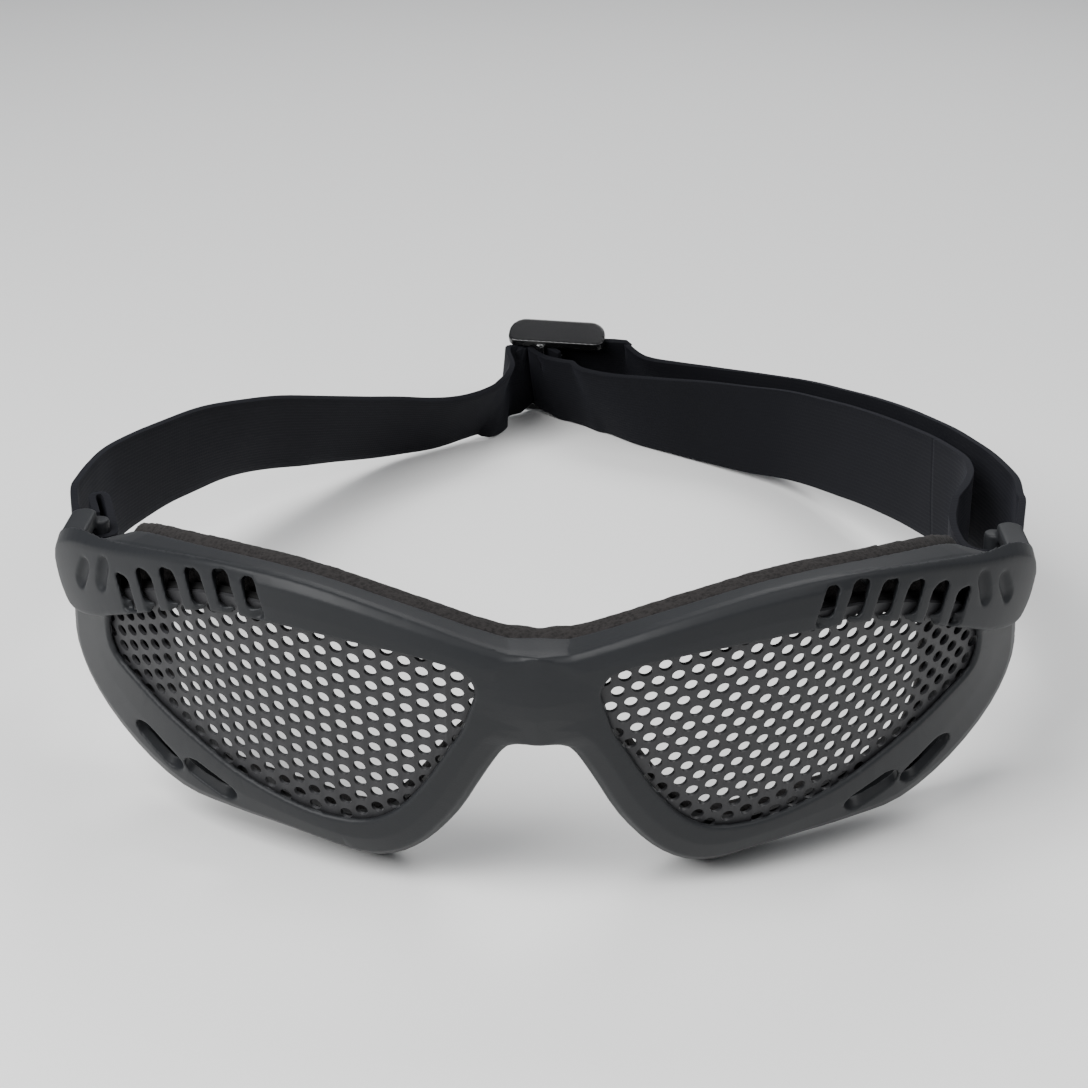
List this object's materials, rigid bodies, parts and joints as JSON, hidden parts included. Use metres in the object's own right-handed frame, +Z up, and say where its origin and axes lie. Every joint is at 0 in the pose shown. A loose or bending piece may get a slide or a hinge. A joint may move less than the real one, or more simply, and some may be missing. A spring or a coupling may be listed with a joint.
{
  "type": "mesh tactical goggles",
  "caption": "Goggles with perforated sheet lenses in a wraparound plastic frame, a foam face seal and an elastic head strap that is shortened with a sliding buckle.",
  "frame": {"origin": "centre of the footprint's bounding box, on the table the goggles rest on", "axes": "+X to the wearer's left, +Y backward from the lenses to the head strap, +Z up off the table"},
  "size_m": [0.1654, 0.2502, 0.0546],
  "materials": {
    "frame_plastic": "fine satin moulding",
    "mesh_metal": "semi-matte dark coating",
    "retainer_plastic": "matte",
    "foam": "open-cell foam",
    "webbing": "woven elastic",
    "thread": "polyester thread",
    "slider_plastic": "glossy moulding"
  },
  "bodies": {
    "goggles": {"frame": "frame_plastic", "right_mesh_lens": "mesh_metal", "left_mesh_lens": "mesh_metal", "right_lens_retainer": "retainer_plastic", "left_lens_retainer": "retainer_plastic", "face_foam": "foam", "right_strap_end": "webbing", "end_stitching": "thread", "left_strap_loop": "webbing"},
    "strap": {"strap_long_run": "webbing", "strap_inner_run": "webbing"},
    "slider": {"slider": "slider_plastic", "slider_tab": "webbing", "tab_stitching": "thread"}
  },
  "joints": [
    {"name": "strap_tilt", "type": "hinge", "parent": "goggles", "child": "strap", "pos_m": [0, -0.07279, 0.0333], "axis": [1, 0, 0], "range_deg": [-20, 25], "stiffness_Nm_per_rad": 0.2},
    {"name": "slider_slide", "type": "slide", "parent": "strap", "child": "slider", "axis": [0.9877, -0.1564, 0], "range_m": [0, 0.0025]}
  ]
}
